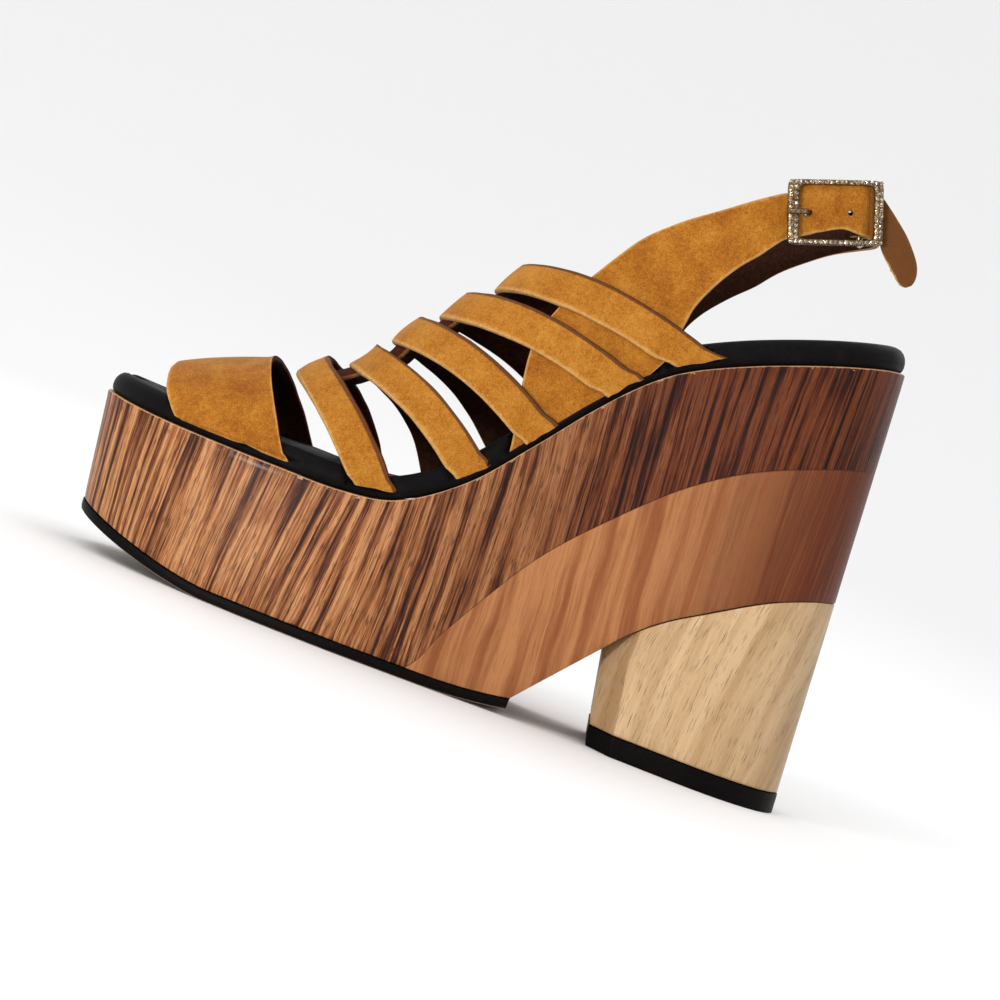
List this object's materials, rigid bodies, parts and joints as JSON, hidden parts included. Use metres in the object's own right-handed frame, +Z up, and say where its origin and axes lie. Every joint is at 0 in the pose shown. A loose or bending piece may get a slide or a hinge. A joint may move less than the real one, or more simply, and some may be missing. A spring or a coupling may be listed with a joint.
{
  "type": "platform sandal",
  "caption": "Left platform sandal with a striped veneered wedge body, oak block heel, suede instep straps and a buckled slingback.",
  "frame": {"origin": "middle of the bounding box, on the floor that the sandal stands on", "axes": "+X from toe to heel, -Y towards the outer (lateral) side, +Z up"},
  "size_m": [0.2308, 0.0837, 0.184],
  "materials": {
    "striped_veneer": "satin varnish",
    "oak_veneer": "satin varnish",
    "sole_rubber": "matt",
    "black_leather": "smooth",
    "tan_suede": "napped suede",
    "old_gold": "antique, textured"
  },
  "bodies": {
    "root": {"platform": "striped_veneer", "heel_block": "oak_veneer", "outsole": "sole_rubber", "heel_top_lift": "sole_rubber", "insole": "black_leather", "toe_strap": "tan_suede", "upper": "tan_suede", "buckle_frame": "old_gold", "buckle_prong": "old_gold"}
  },
  "joints": []
}
